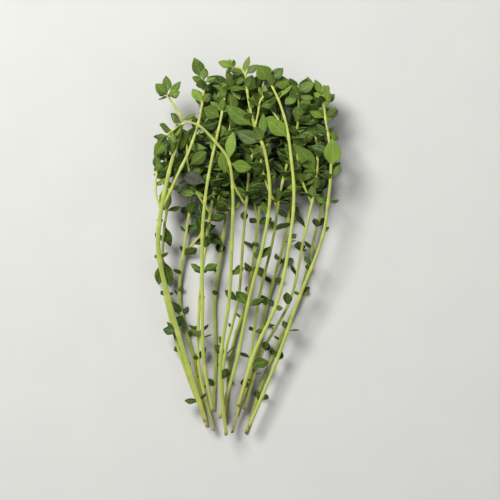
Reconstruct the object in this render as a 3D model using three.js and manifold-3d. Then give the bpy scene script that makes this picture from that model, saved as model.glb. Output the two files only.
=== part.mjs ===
// A bundle of fresh thyme: sixteen cut sprigs lying loose together on a flat surface. The leafy tops
// point to +Y, the cut ends to -Y, and +Z is up. Lengths are in millimetres, and the origin is on the
// surface, under the middle of the bundle. Each sprig is one solid: a square stem, its side shoots
// and its leaves.
import * as THREE from "three";
import { mergeVertices } from "three/addons/utils/BufferGeometryUtils.js";
import Module from "manifold-3d";

const wasm = await Module();
wasm.setup();

// Scale: a detail 80 pixels wide in the photograph is 32 mm wide on the real thing. The origin is
// under the middle pixel.
const MM_PER_PIXEL = 0.4;
const MIDDLE_PIXEL = { x: 246.5, y: 247.5 };

// The room that the leaves keep to: their lowest and highest middles, and how far out they reach.
const FLOOR = 0.3;
const CEILING = 27.4;
const SIDE = 38.2;

// Stems. They narrow with their length to a power, so mostly near their tips.
const STEM_SIDES = 4;
const STEM_STEPS = 13;
const CURVE_TENSION = 0.5;
const TAPER = 3;

// Side shoots by rule: how much of their bend and of their lift each third of the length has.
const SHOOT_STEPS = 5;
const SHOOT_RADII = [0.58, 0.46];
const SHOOT_LEAFY = 0.2;
const SHOOT_BENDS = [1, 0.7, 0.3];
const SHOOT_LIFTS = [0.5, 0.4, 0.1];

// Leaf pairs, counted from a shoot's tip: how long the leaves are, and how far down the next pair is.
const PAIR_LENGTHS = [4.8, 6.8, 8.4, 9, 8.6, 7.6, 6.6, 6, 5.4];
const PAIR_GAPS = [3.2, 5.2, 7.2, 8.6, 9.6, 10.6, 12, 14];
const TIP_GAP = 1.8;
const LONG_LEAF = 7;

// How far leaves by rule and the gaps between them vary: a leaf's length as a share of its pair's, its
// width as a share of its own length, and a gap as a share of its place's.
const LENGTH_RANGE = [0.74, 1.2];
const WIDTH_RANGE = [0.45, 0.68];
const GAP_RANGE = [0.84, 1.16];

// Leaf shape: share of the length, and half width as a share of the width. A ribbed station has a
// point on the rib.
const ROOT = { at: 0, half: 0 };
const PETIOLE = { at: 0.2, half: 0.11 };
const WIDEST = { at: 0.52, half: 0.5, ribbed: true };
const SHOULDER = { at: 0.8, half: 0.34 };
const BLADE_THICKNESS = 0.6;
const FOLD = 0.16;

// How a leaf stands by rule: it leans from its stem, is pressed towards level, turns its face up, and
// droops towards its tip.
const LEAN = { leaf: 1, tip: 0.6 };
const LEAN_SPREAD = 0.5;
const AZIMUTH_SPREAD = 0.7;
const PRESSED = 0.62;
const FACE_UP_RANGE = [0.25, 0.74];
const DROOP_RANGE = [0.02, 0.22];
const SHOWN_DROOP_RANGE = [0.02, 0.08];

// A leaf that would touch something swings round its stem, or lifts its tip, until it is clear.
const ATTEMPTS = 16;
const SWING = 0.21;
const SHRINK = 0.02;
const LEAN_RETRY = 0.8;
const TIP_STEP = 0.8;
const ROLL_SPREAD = 0.7;
const CLEARANCE = 0.34;

// How finely a leaf's foot is looked for along a stem, a number that keeps the draws of shown leaves
// apart, the detail that a finished sprig may lose, and the number that all draws start from.
const FOOT_STEP = 0.25;
const SHOWN_KEY = 7;
const FINEST = 0.08;
const SEED = 20440;

// The sprigs, front ones first. A route runs from the cut end to the tip, each point as pixels across
// and down the photograph, then the height in mm. Radii are the stem's at its cut end and its tip, leafy
// is where its leaves start as a share of its length, turn is how its pairs are turned in radians, and
// spread is the gaps between them as a share of the usual ones. A side shoot has a route from its stem,
// or a rule: where on the stem it starts, how far it bends from it in radians, its length and its lift.
// Shown leaves are those that the photograph shows one by one: foot across and down, tip across and
// down, the tip's height in mm, and the width as a share of the length.
const SPRIGS = [
  {
    name: "sprig_left_front",
    radii: [1.35, 0.5],
    leafy: 0.97,
    turn: 0.3,
    spread: 1,
    route: [
      [205, 424, 8.6], [185, 360, 10], [168, 300, 13], [158, 250, 17], [161, 210, 19],
      [170, 168, 20], [180, 133, 20.5], [182, 119, 20.5], [171, 101, 20], [166, 93, 20],
    ],
    shoots: [
      {
        radii: [1.05, 0.46],
        leafy: 0.7,
        route: [
          [161, 210, 19], [169, 194, 19.6], [179, 172, 20.4], [189, 151, 20],
          [198, 124, 19.4], [203, 98, 19], [204, 78, 19],
        ],
      },
      { radii: [0.55, 0.46], route: [[161, 210, 19], [156, 194, 18.6], [156, 175, 18], [159, 160, 17]] },
    ],
    shown: [
      [204, 79, 194, 58, 21, 0.56], [203, 82, 192, 77, 20, 0.6], [203, 91, 215, 104, 17.5, 0.42],
      [167, 95, 156, 84, 21.5, 0.72], [168, 97, 180, 92, 21, 0.75], [167, 94, 166, 75, 19.6, 0.5],
      [168, 95, 181, 81, 19, 0.38], [181, 127, 180, 151, 17, 0.46], [182, 120, 196, 113, 20, 0.32],
      [156, 178, 171, 161, 16.6, 0.7], [158, 172, 157, 153, 17, 0.45], [170, 168, 190, 158, 16.4, 0.6],
    ],
  },
  {
    name: "sprig_arching",
    radii: [0.95, 0.5],
    leafy: 0.93,
    turn: 1.2,
    spread: 1,
    route: [
      [226, 437, 12.2], [220, 368, 15], [229, 300, 18], [232, 240, 21.5], [233, 195, 23.6],
      [229, 162, 24.6], [216, 143, 25], [200, 127, 25], [186, 123.5, 25], [173, 131, 24.4], [165, 139, 23],
    ],
    shoots: [],
    shown: [
      [166, 138, 155, 155, 21, 0.6], [172, 132, 172, 154, 21.6, 0.36], [229, 163, 233, 132, 25, 0.36],
      [230, 165, 252, 168, 23.4, 0.56], [221, 150, 226, 174, 22.6, 0.42],
    ],
  },
  {
    name: "sprig_left_centre",
    radii: [0.95, 0.5],
    leafy: 0.88,
    turn: 0.2,
    spread: 1,
    route: [
      [212, 413, 8.8], [203, 360, 11], [202, 300, 14.5], [202, 240, 17.5], [205, 200, 19],
      [210, 168, 20], [216, 141, 20], [221, 118, 19.6], [224, 100, 18.6], [226, 88, 18],
    ],
    shoots: [],
    shown: [
      [221, 118, 204, 108, 21.6, 0.75], [220, 121, 202, 126, 18, 0.62], [222, 114, 223, 98, 20.6, 0.42],
      [207, 184, 181, 173, 15, 0.5],
    ],
  },
  {
    name: "sprig_centre_front",
    radii: [0.95, 0.5],
    leafy: 0.7,
    turn: 0.9,
    spread: 1.4,
    route: [
      [219, 421, 8.6], [236, 364, 11], [249, 300, 15], [264, 240, 18], [270, 195, 19.5], [266, 157, 20.5],
      [260, 138, 21], [255, 127, 21], [250, 108, 21], [247, 90, 21], [246, 77, 21], [241, 69, 20.6],
      [231, 66, 20],
    ],
    shoots: [
      { radii: [0.5, 0.46], route: [[255, 127, 21], [258, 114, 21.6], [260, 102, 22], [266, 94, 22]] },
    ],
    shown: [
      [255, 127, 226, 106, 23.4, 0.42], [251, 112, 253, 96, 22.8, 0.36], [263, 98, 273, 94, 23, 0.5],
      [261, 141, 263, 114, 23.6, 0.32], [262, 143, 236, 131, 18.4, 0.5], [246, 75, 258, 65, 22, 0.48],
      [234, 66, 218, 62, 21, 0.5], [246, 78, 236, 84, 19.6, 0.5],
    ],
  },
  {
    name: "sprig_right_centre",
    radii: [0.95, 0.5],
    leafy: 0.9,
    turn: 0.1,
    spread: 1,
    route: [
      [238, 408, 8.5], [254, 355, 11], [278, 300, 15], [290, 240, 18], [294, 195, 19.5],
      [291, 157, 20.5], [287, 128, 21], [280, 104, 21], [271, 84, 20.5], [268, 76, 20],
    ],
    shoots: [
      { radii: [0.5, 0.46], route: [[289, 142, 20.7], [283, 127, 18.6], [274, 113, 17], [264, 101, 16]] },
    ],
    shown: [
      [270, 83, 258, 66, 22, 0.75], [270, 82, 283, 68, 21, 0.6], [272, 86, 290, 80, 19.4, 0.74],
      [289, 139, 267, 119, 23, 0.52], [286, 127, 287, 103, 17.6, 0.42],
    ],
  },
  {
    name: "sprig_right_front",
    radii: [0.95, 0.5],
    leafy: 0.66,
    turn: 0.6,
    spread: 1,
    route: [
      [249, 430, 8.4], [277, 362, 10], [299, 300, 14], [322, 240, 17], [329, 195, 19.5],
      [331, 165, 20.5], [329, 140, 20], [326, 122, 19.6], [324, 104, 19.2], [323, 92, 19],
    ],
    shoots: [],
    shown: [
      [330, 169, 332, 139, 23.4, 0.58], [328, 132, 339, 140, 19, 0.6], [324, 110, 328, 89, 21.6, 0.44],
      [326, 124, 336, 107, 20.4, 0.42], [330, 152, 310, 146, 18.4, 0.4], [323, 96, 315, 79, 19.4, 0.4],
    ],
  },
  {
    name: "sprig_left_middle",
    radii: [0.8, 0.46],
    leafy: 0.46,
    turn: 1,
    spread: 0.84,
    route: [
      [196, 404, 5.2], [177, 350, 6], [163, 290, 8], [162, 240, 10.4], [168, 200, 12],
      [176, 170, 13], [190, 143, 13.4], [206, 120, 13.4], [216, 100, 13],
    ],
    shoots: [{ at: 0.68, bend: 0.4, length: 20, lift: 2.4 }],
    shown: [
      [164, 214, 165, 186, 12.6, 0.46], [165, 224, 169, 247, 9, 0.42], [163, 258, 169, 288, 8, 0.4],
      [162, 262, 157, 286, 6, 0.4],
    ],
  },
  {
    name: "sprig_mid_left_middle",
    radii: [0.8, 0.46],
    leafy: 0.64,
    turn: 0.4,
    spread: 0.78,
    route: [
      [213, 434, 5], [198, 368, 6.5], [199, 300, 9], [206, 240, 11], [213, 195, 12.5],
      [222, 160, 13.5], [230, 125, 13.6], [232, 96, 14], [231, 79, 15],
    ],
    shoots: [{ at: 0.62, bend: 0.7, length: 30, lift: 3.3 }],
    shown: [
      [231, 83, 217, 90, 13.4, 0.66], [232, 90, 231, 104, 14, 0.6], [231, 85, 216, 97, 17.4, 0.3],
      [232, 84, 240, 99, 17, 0.46], [231, 90, 207, 76, 16, 0.5], [231, 80, 247, 73, 15.6, 0.6],
    ],
  },
  {
    name: "sprig_centre_middle",
    radii: [0.8, 0.46],
    leafy: 0.64,
    turn: 1.3,
    spread: 0.78,
    route: [
      [222, 416, 5.2], [224, 360, 6.5], [238, 300, 9], [243, 240, 11.5], [247, 195, 13],
      [250, 165, 14], [257, 135, 14], [261, 108, 13.5], [257, 88, 13],
    ],
    shoots: [{ at: 0.64, bend: 0.6, length: 30, lift: 3.2 }],
    shown: [],
  },
  {
    name: "sprig_mid_right_middle",
    radii: [0.8, 0.46],
    leafy: 0.64,
    turn: 0.7,
    spread: 0.78,
    route: [
      [232, 436, 5.1], [249, 368, 6.5], [259, 300, 9], [273, 240, 11.5], [280, 195, 13],
      [287, 165, 13.5], [296, 135, 14.5], [299, 110, 16.5], [297, 91, 18.5],
    ],
    shoots: [{ at: 0.66, bend: 0.6, length: 28, lift: 2.6 }],
    shown: [
      [297, 92, 314, 83, 20.6, 0.6], [297, 93, 285, 104, 20.2, 0.62], [298, 97, 314, 98, 18.6, 0.5],
    ],
  },
  {
    name: "sprig_right_middle",
    radii: [0.8, 0.46],
    leafy: 0.64,
    turn: 0.2,
    spread: 0.78,
    route: [
      [244, 412, 5], [262, 355, 6.5], [291, 300, 9], [304, 240, 11.5], [314, 195, 13],
      [318, 165, 13.6], [316, 135, 14], [311, 110, 14], [314, 90, 14],
    ],
    shoots: [{ at: 0.66, bend: 0.6, length: 28, lift: 3 }],
    shown: [[316, 174, 298, 146, 19, 0.42]],
  },
  {
    name: "sprig_left_back",
    radii: [0.9, 0.46],
    leafy: 0.7,
    turn: 0.8,
    spread: 0.66,
    route: [
      [206, 431, 0.6], [192, 360, 0.64], [178, 300, 1.6], [184, 240, 4.4], [190, 200, 5],
      [192, 172, 5.5], [190, 150, 6], [186, 136, 6.4],
    ],
    shoots: [{ at: 0.6, bend: -0.6, length: 30, lift: 4 }],
    shown: [],
  },
  {
    name: "sprig_mid_left_back",
    radii: [0.9, 0.46],
    leafy: 0.7,
    turn: 0.3,
    spread: 0.66,
    route: [
      [213, 415, 0.6], [215, 355, 0.64], [214, 300, 1.6], [222, 240, 4.4], [228, 195, 5],
      [226, 160, 5.5], [219, 130, 6], [213, 106, 6.4], [213, 84, 7],
    ],
    shoots: [{ at: 0.6, bend: 0.35, length: 30, lift: 1 }],
    shown: [],
  },
  {
    name: "sprig_centre_back",
    radii: [0.9, 0.46],
    leafy: 0.7,
    turn: 1.1,
    spread: 0.66,
    route: [
      [225, 427, 0.6], [231, 355, 0.64], [247, 300, 1.6], [256, 240, 4.4], [260, 195, 5.2],
      [256, 160, 5.6], [247, 130, 6], [243, 104, 6.4], [246, 84, 7],
    ],
    shoots: [{ at: 0.6, bend: 0.3, length: 30, lift: 1 }],
    shown: [],
  },
  {
    name: "sprig_mid_right_back",
    radii: [0.9, 0.46],
    leafy: 0.7,
    turn: 0.5,
    spread: 0.66,
    route: [
      [236, 420, 0.6], [256, 362, 0.64], [269, 300, 1.6], [285, 240, 4.4], [291, 195, 5.2],
      [287, 160, 5.6], [279, 130, 6], [275, 104, 6.4], [273, 84, 7],
    ],
    shoots: [],
    shown: [],
  },
  {
    name: "sprig_right_back",
    radii: [0.9, 0.46],
    leafy: 0.7,
    turn: 0,
    spread: 0.66,
    route: [
      [246, 437, 0.6], [269, 368, 0.64], [300, 300, 1.6], [315, 240, 4.4], [324, 200, 5.2],
      [323, 165, 5.6], [315, 135, 6], [306, 110, 6.4], [300, 90, 7],
    ],
    shoots: [{ at: 0.66, bend: 0.5, length: 26, lift: 4 }],
    shown: [],
  },
];

const UP = new THREE.Vector3(0, 0, 1);
const GREEN = { deep: new THREE.Color(0.2, 0.36, 0.08), pale: new THREE.Color(0.25, 0.42, 0.08) };

// A number from 0 to 1 that depends only on its keys, so that no draw shifts another.
function draw(...keys) {
  let hash = SEED;
  for (const key of [...keys, SEED]) {
    hash = Math.imul(hash ^ key, 2654435761);
    hash ^= hash >>> 15;
  }
  return (hash >>> 0) / 4294967296;
}

// A number within a range that depends only on its keys.
function drawWithin([low, high], ...keys) {
  return low + (high - low) * draw(...keys);
}

// A point given as pixels across and down the photograph and a height, in millimetres.
function place([x, y, height]) {
  return new THREE.Vector3(
    (x - MIDDLE_PIXEL.x) * MM_PER_PIXEL,
    (MIDDLE_PIXEL.y - y) * MM_PER_PIXEL,
    height,
  );
}

// A stem's line as points along a smooth curve, with the distance of each from its start.
function traceLine(route, steps) {
  const curve = new THREE.CatmullRomCurve3(route, false, "catmullrom", CURVE_TENSION);
  const points = curve.getPoints(steps);
  const distances = [0];
  for (let i = 1; i < points.length; i++) {
    distances.push(distances[i - 1] + points[i].distanceTo(points[i - 1]));
  }
  return { points, distances, length: distances.at(-1) };
}

// The point and the direction of a line at a distance along it.
function lineAt(line, distance) {
  let i = 1;
  while (i < line.points.length - 1 && line.distances[i] < distance) i++;
  const share = (distance - line.distances[i - 1]) / (line.distances[i] - line.distances[i - 1]);
  return {
    point: line.points[i - 1].clone().lerp(line.points[i], share),
    tangent: line.points[i].clone().sub(line.points[i - 1]).normalize(),
  };
}

// The route of a side shoot that leaves its stem at an angle, then turns to run beside it.
function shootRoute(line, { at, bend, length, lift }) {
  const start = lineAt(line, at * line.length);
  const heading = Math.atan2(start.tangent.y, start.tangent.x);
  const route = [start.point];
  SHOOT_BENDS.forEach((share, i) => {
    const angle = heading + bend * share;
    const step = length / SHOOT_BENDS.length;
    const rise = (lift * SHOOT_LIFTS[i]) + start.tangent.z * step;
    const onward = new THREE.Vector3(step * Math.cos(angle), step * Math.sin(angle), rise);
    route.push(route[i].clone().add(onward));
  });
  return route;
}

// The level direction across a tangent, and the one that stands up from it.
function crossing(tangent) {
  const side = tangent.clone().cross(UP).normalize();
  return { side, rise: side.clone().cross(tangent) };
}

// A closed surface, given by its corners and its triangles, as a solid.
function solidOf(vertices, faces) {
  const geometry = new THREE.BufferGeometry();
  const numbers = vertices.flatMap((vertex) => vertex.toArray());
  geometry.setAttribute("position", new THREE.Float32BufferAttribute(numbers, 3));
  geometry.setIndex(faces.flat());
  return manifoldOf(mergeVertices(geometry));
}

function manifoldOf(geometry) {
  return new wasm.Manifold(
    new wasm.Mesh({
      numProp: 3,
      vertProperties: geometry.attributes.position.array,
      triVerts: new Uint32Array(geometry.index.array),
    }),
  );
}

// A square stem that tapers along its line, most of it near the tip, closed at both ends.
function stemSolid(line, [startRadius, endRadius]) {
  const vertices = [];
  const faces = [];
  const rings = line.points.length;
  for (let ring = 0; ring < rings; ring++) {
    const before = line.points[Math.max(ring - 1, 0)];
    const after = line.points[Math.min(ring + 1, rings - 1)];
    const { side, rise } = crossing(after.clone().sub(before).normalize());
    const share = line.distances[ring] / line.length;
    const radius = THREE.MathUtils.lerp(startRadius, endRadius, share ** TAPER);
    for (let corner = 0; corner < STEM_SIDES; corner++) {
      const angle = ((corner + 0.5) / STEM_SIDES) * 2 * Math.PI;
      vertices.push(
        line.points[ring]
          .clone()
          .addScaledVector(side, radius * Math.cos(angle))
          .addScaledVector(rise, radius * Math.sin(angle)),
      );
    }
  }
  for (let ring = 0; ring < rings - 1; ring++) {
    for (let corner = 0; corner < STEM_SIDES; corner++) {
      const a = ring * STEM_SIDES + corner;
      const b = ring * STEM_SIDES + ((corner + 1) % STEM_SIDES);
      faces.push([a, a + STEM_SIDES, b], [b, a + STEM_SIDES, b + STEM_SIDES]);
    }
  }
  const last = (rings - 1) * STEM_SIDES;
  for (let corner = 1; corner < STEM_SIDES - 1; corner++) {
    faces.push([0, corner, corner + 1], [last, last + corner + 1, last + corner]);
  }
  return solidOf(vertices, faces);
}

// The leaves that a shoot bears by rule: pairs set crosswise from the tip down, and two small leaves
// that close the tip.
function pairedLeaves(keyStart, line, leafyFrom, { turn, spread }) {
  const leaves = [];
  const add = (pair, item, back, azimuth, lean, length) => {
    const key = [...keyStart, pair, item];
    leaves.push({
      key,
      ...lineAt(line, line.length - back),
      azimuth: azimuth + (draw(...key, 1) - 0.5) * AZIMUTH_SPREAD,
      lean: lean + (draw(...key, 2) - 0.5) * LEAN_SPREAD,
      length: length * drawWithin(LENGTH_RANGE, ...key, 3),
      widthShare: drawWithin(WIDTH_RANGE, ...key, 6),
      droop: drawWithin(DROOP_RANGE, ...key, 4),
      faceUp: drawWithin(FACE_UP_RANGE, ...key, 8),
    });
  };
  add(0, 4, TIP_GAP / 2, turn + Math.PI / 2, LEAN.tip, PAIR_LENGTHS[0]);
  add(0, 5, TIP_GAP / 2, turn - Math.PI / 2, LEAN.tip, PAIR_LENGTHS[0]);
  let back = TIP_GAP;
  for (let pair = 0; line.length - back > line.length * leafyFrom; pair++) {
    const azimuth = turn + (pair * Math.PI) / 2;
    const length = PAIR_LENGTHS[Math.min(pair, PAIR_LENGTHS.length - 1)];
    add(pair, 0, back, azimuth, LEAN.leaf, length);
    add(pair, 1, back, azimuth + Math.PI, LEAN.leaf, length);
    const gap = PAIR_GAPS[Math.min(pair, PAIR_GAPS.length - 1)];
    back += gap * spread * drawWithin(GAP_RANGE, ...keyStart, pair, 9);
  }
  return leaves;
}

// A leaf that the photograph shows, rooted where its sprig's lines pass nearest to its foot.
function shownLeaf(key, lines, [footX, footY, tipX, tipY, tipHeight, widthShare]) {
  const foot = place([footX, footY, 0]);
  let root = null;
  let nearest = Infinity;
  for (const line of lines) {
    for (let distance = 0; distance < line.length; distance += FOOT_STEP) {
      const { point } = lineAt(line, distance);
      const gap = Math.hypot(point.x - foot.x, point.y - foot.y);
      if (gap < nearest) [nearest, root] = [gap, point];
    }
  }
  const droop = drawWithin(SHOWN_DROOP_RANGE, ...key, 4);
  return { key, point: root, tip: place([tipX, tipY, tipHeight]), widthShare, droop };
}

// The directions of a leaf that stands on its stem by rule, at one attempt.
function swungDirections(leaf, attempt) {
  const swing = (attempt % 2 ? 1 : -1) * Math.ceil(attempt / 2) * SWING;
  const lean = leaf.lean + (attempt ? (draw(...leaf.key, 5, attempt) - 0.5) * LEAN_RETRY : 0);
  const azimuth = leaf.azimuth + swing;
  const { side, rise } = crossing(leaf.tangent);
  const outward = side.multiplyScalar(Math.cos(azimuth)).addScaledVector(rise, Math.sin(azimuth));
  const [sine, cosine] = [Math.sin(lean), Math.cos(lean)];
  const along = leaf.tangent.clone().multiplyScalar(cosine).addScaledVector(outward, sine);
  const face = leaf.tangent.clone().multiplyScalar(sine).addScaledVector(outward, -cosine);
  along.z *= PRESSED;
  along.normalize();
  const upward = face.z < 0 ? -leaf.faceUp : leaf.faceUp;
  const normal = face.clone().multiplyScalar(1 - leaf.faceUp).addScaledVector(UP, upward);
  return { along, normal, length: leaf.length * (1 - SHRINK * attempt) };
}

// The directions of a leaf that the photograph shows: its tip rises or drops until it is clear.
function aimedDirections(leaf, attempt) {
  const along = leaf.tip.clone().sub(leaf.point);
  along.z += (attempt % 2 ? 1 : -1) * Math.ceil(attempt / 2) * TIP_STEP;
  const roll = (draw(...leaf.key, 5, attempt) - 0.5) * ROLL_SPREAD;
  const normal = UP.clone().add(new THREE.Vector3(-along.y, along.x, 0).normalize().multiplyScalar(roll));
  return { along: along.clone().normalize(), normal, length: along.length() };
}

// Where a leaf stands at one attempt: its root, its three directions and its size.
function poseOf(leaf, attempt) {
  const directions = leaf.tip ? aimedDirections : swungDirections;
  const { along, normal, length } = directions(leaf, attempt);
  normal.addScaledVector(along, -normal.dot(along)).normalize();
  const across = normal.clone().cross(along);
  const width = length * leaf.widthShare;
  return { root: leaf.point, along, normal, across, length, width, droop: leaf.droop };
}

// A point of the middle of a blade: a share of its length, and a distance across it.
function bladePoint(pose, share, aside) {
  const height = FOLD * Math.abs(aside) - pose.droop * pose.length * share * share;
  const point = pose.root
    .clone()
    .addScaledVector(pose.along, share * pose.length)
    .addScaledVector(pose.across, aside)
    .addScaledVector(pose.normal, height);
  point.z = THREE.MathUtils.clamp(point.z, FLOOR, CEILING);
  return point;
}

// Triangles between two rows of points that both run from left to right.
function bridge(row, next) {
  const faces = [];
  let i = 0;
  let j = 0;
  while (i < row.length - 1 || j < next.length - 1) {
    const rowShare = row.length > 1 ? (i + 1) / (row.length - 1) : Infinity;
    const nextShare = next.length > 1 ? (j + 1) / (next.length - 1) : Infinity;
    if (rowShare <= nextShare && i < row.length - 1) faces.push([row[i], row[++i], next[j]]);
    else faces.push([row[i], next[j + 1], next[j++]]);
  }
  return faces;
}

// A leaf as a thin closed blade, folded along its rib, whose two faces are split alike. With grow it
// is larger all round.
function bladeSolid(pose, stations, grow) {
  const middle = [];
  const rows = stations.map(({ at, half, ribbed }) => {
    const aside = half * pose.width + (half ? grow : 0);
    const asides = half ? (ribbed ? [aside, 0, -aside] : [aside, -aside]) : [0];
    return asides.map((distance) => middle.push(bladePoint(pose, at, distance)) - 1);
  });
  rows.push([middle.push(bladePoint(pose, 1 + grow / pose.length, 0)) - 1]);
  const left = rows.map((row) => row[0]);
  const right = rows.map((row) => row.at(-1)).reverse();
  const outline = [...new Set([...left, ...right, ...rows[0].toReversed()])];
  const lift = pose.normal.clone().multiplyScalar(BLADE_THICKNESS / 2 + grow);
  const upper = middle.map((point) => point.clone().add(lift));
  const lower = middle.map((point) => point.clone().sub(lift));
  const count = middle.length;
  const skin = [];
  for (let i = 0; i < rows.length - 1; i++) {
    for (const [a, b, c] of bridge(rows[i], rows[i + 1])) {
      skin.push([a, b, c], [a + count, c + count, b + count]);
    }
  }
  outline.forEach((a, i) => {
    const b = outline[(i + 1) % outline.length];
    skin.push([a, b, b + count], [a, b + count, a + count]);
  });
  return solidOf([...upper, ...lower], skin);
}

function stationsOf(leaf, length) {
  if (leaf.tip) return [ROOT, PETIOLE, WIDEST, SHOULDER];
  return length > LONG_LEAF ? [ROOT, WIDEST, SHOULDER] : [ROOT, WIDEST];
}

function entryOf(solid, sprig) {
  const { min, max } = solid.boundingBox();
  return { solid, sprig, min, max };
}

function touches(probe, entry) {
  for (let axis = 0; axis < 3; axis++) {
    if (probe.min[axis] > entry.max[axis] || probe.max[axis] < entry.min[axis]) return false;
  }
  return !probe.solid.intersect(entry.solid).isEmpty();
}

// The first attempt at which a leaf is clear of the other sprigs and of the rest of its own sprig,
// and doesn't reach too far out. Near its root a leaf may meet its own stem.
function clearBlade(leaf, sprig, placed) {
  for (let attempt = 0; attempt < ATTEMPTS; attempt++) {
    const pose = poseOf(leaf, attempt);
    const stations = stationsOf(leaf, pose.length);
    const whole = entryOf(bladeSolid(pose, stations, CLEARANCE), sprig);
    if (whole.min[0] < -SIDE || whole.max[0] > SIDE) continue;
    const wide = stations.slice(-2).filter(({ half }) => half > PETIOLE.half);
    const outer = entryOf(bladeSolid(pose, wide, 0), sprig);
    if (!placed.some((entry) => touches(entry.sprig === sprig ? outer : whole, entry))) {
      return bladeSolid(pose, stations, 0);
    }
  }
  return null;
}

// What lies below the surface is cut away flat, and any scrap that this leaves is dropped.
function restOnSurface(solid) {
  const depth = 20;
  const box = new THREE.BoxGeometry(300, 300, depth).translate(0, 0, -depth / 2);
  box.deleteAttribute("normal");
  box.deleteAttribute("uv");
  const pieces = solid.subtract(manifoldOf(mergeVertices(box))).decompose();
  return pieces.reduce((largest, piece) => (piece.volume() > largest.volume() ? piece : largest));
}

function meshOf(name, solid, colour) {
  const { vertProperties, triVerts } = solid.getMesh();
  const geometry = new THREE.BufferGeometry();
  geometry.setAttribute("position", new THREE.BufferAttribute(vertProperties, 3));
  geometry.setIndex(new THREE.BufferAttribute(triVerts, 1));
  geometry.computeVertexNormals();
  const material = new THREE.MeshStandardMaterial({ color: colour, roughness: 0.62, metalness: 0 });
  const mesh = new THREE.Mesh(geometry, material);
  mesh.name = name;
  return mesh;
}

// The lines of a sprig: its main stem, then its side shoots, each with its radii and leafy part.
function stemsOf(sprig) {
  const main = traceLine(sprig.route.map(place), STEM_STEPS);
  const shoots = sprig.shoots.map((shoot) => ({
    line: traceLine(shoot.route ? shoot.route.map(place) : shootRoute(main, shoot), SHOOT_STEPS),
    radii: shoot.radii ?? SHOOT_RADII,
    leafy: shoot.leafy ?? SHOOT_LEAFY,
  }));
  return [{ line: main, radii: sprig.radii, leafy: sprig.leafy }, ...shoots];
}

function buildBundle() {
  const parts = SPRIGS.map(() => []);
  const placed = [];
  const waiting = [];
  const keep = (solid, number) => {
    parts[number].push(solid);
    placed.push(entryOf(solid, number));
  };
  SPRIGS.forEach((sprig, number) => {
    const stems = stemsOf(sprig);
    stems.forEach(({ line, radii, leafy }, shoot) => {
      keep(stemSolid(line, radii), number);
      for (const leaf of pairedLeaves([number, shoot], line, leafy, sprig)) waiting.push({ leaf, number });
    });
    const lines = stems.map(({ line }) => line);
    sprig.shown.forEach((numbers, i) => {
      waiting.push({ leaf: shownLeaf([number, SHOWN_KEY, i], lines, numbers), number });
    });
  });
  const rank = ({ leaf }) => (leaf.tip ? Infinity : leaf.length);
  waiting.sort((a, b) => (rank(b) > rank(a) ? 1 : rank(b) < rank(a) ? -1 : 0));
  for (const { leaf, number } of waiting) {
    const solid = clearBlade(leaf, number, placed);
    if (solid) keep(solid, number);
  }
  const bundle = new THREE.Group();
  SPRIGS.forEach((sprig, number) => {
    const whole = restOnSurface(wasm.Manifold.union(parts[number])).asOriginal().simplify(FINEST);
    const colour = new THREE.Color().lerpColors(GREEN.deep, GREEN.pale, draw(number));
    bundle.add(meshOf(sprig.name, whole, colour));
  });
  return bundle;
}

export default buildBundle();
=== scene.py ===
"""The looks of a bundle of fresh thyme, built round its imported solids.

Lengths are in millimetres in the frame of the solids, with +Y towards the leafy tips, +Z up and the
origin on the surface under the middle of the bundle. Meshes are scaled to metres at the end.
"""

import math

import bpy
import numpy as np
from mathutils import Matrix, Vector
from mathutils.bvhtree import BVHTree

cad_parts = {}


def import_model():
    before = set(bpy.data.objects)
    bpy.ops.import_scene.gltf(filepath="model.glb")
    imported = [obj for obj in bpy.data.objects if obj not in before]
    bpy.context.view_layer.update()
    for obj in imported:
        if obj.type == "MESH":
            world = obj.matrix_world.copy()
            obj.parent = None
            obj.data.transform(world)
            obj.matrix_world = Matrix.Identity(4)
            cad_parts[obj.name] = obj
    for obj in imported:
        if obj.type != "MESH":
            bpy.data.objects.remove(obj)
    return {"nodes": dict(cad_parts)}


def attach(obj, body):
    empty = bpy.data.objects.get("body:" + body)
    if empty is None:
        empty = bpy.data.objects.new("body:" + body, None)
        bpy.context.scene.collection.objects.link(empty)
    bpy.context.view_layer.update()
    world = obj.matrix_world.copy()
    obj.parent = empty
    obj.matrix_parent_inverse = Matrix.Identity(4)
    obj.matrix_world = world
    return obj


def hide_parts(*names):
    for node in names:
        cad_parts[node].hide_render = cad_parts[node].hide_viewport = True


METRE = 0.001

# Scale and place of the photo, and how far above the front leaves the camera is.
MM_PER_PIXEL = 0.4
MIDDLE_X, MIDDLE_Y = 246.5, 247.5
PHOTO_PIXELS = 500
FRONT_LEAVES_Z = 20
CAMERA_ABOVE = 800
SENSOR = 36

# The rules by which the solids' leaves stand, so that each is found again. Leaves draw from ranges: lean
# is in radians, and the length in mm or, in pairs, as a share of the pair's.
STEM_STEPS = 13
TAPER = 3
SHOOT_STEPS = 5
SHOOT_RADII = (0.58, 0.46)
SHOOT_LEAFY = 0.2
SHOOT_BENDS = (1, 0.7, 0.3)
SHOOT_LIFTS = (0.5, 0.4, 0.1)
PAIR_LENGTHS = (4.8, 6.8, 8.4, 9, 8.6, 7.6, 6.6, 6, 5.4)
PAIR_GAPS = (3.2, 5.2, 7.2, 8.6, 9.6, 10.6, 12, 14)
TIP_GAP = 1.8
GAP_RANGE = (0.84, 1.16)
WIDEST = 0.52
BLADE_THICKNESS = 0.6
FOLD = 0.16
AZIMUTH_SPREAD = 0.7
PRESSED = 0.62
PAIR_LEAF = {
    "lean": (0.75, 1.25), "length": (0.74, 1.2), "width_share": (0.45, 0.68), "droop": (0.02, 0.22),
    "face_up": (0.25, 0.74),
}
TIP_LEAF = {**PAIR_LEAF, "lean": (0.35, 0.85)}
SHOWN_DROOP_RANGE = (0.02, 0.08)
ATTEMPTS = 16
SWING = 0.21
SHRINK = 0.02
LEAN_RETRY = 0.8
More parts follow.
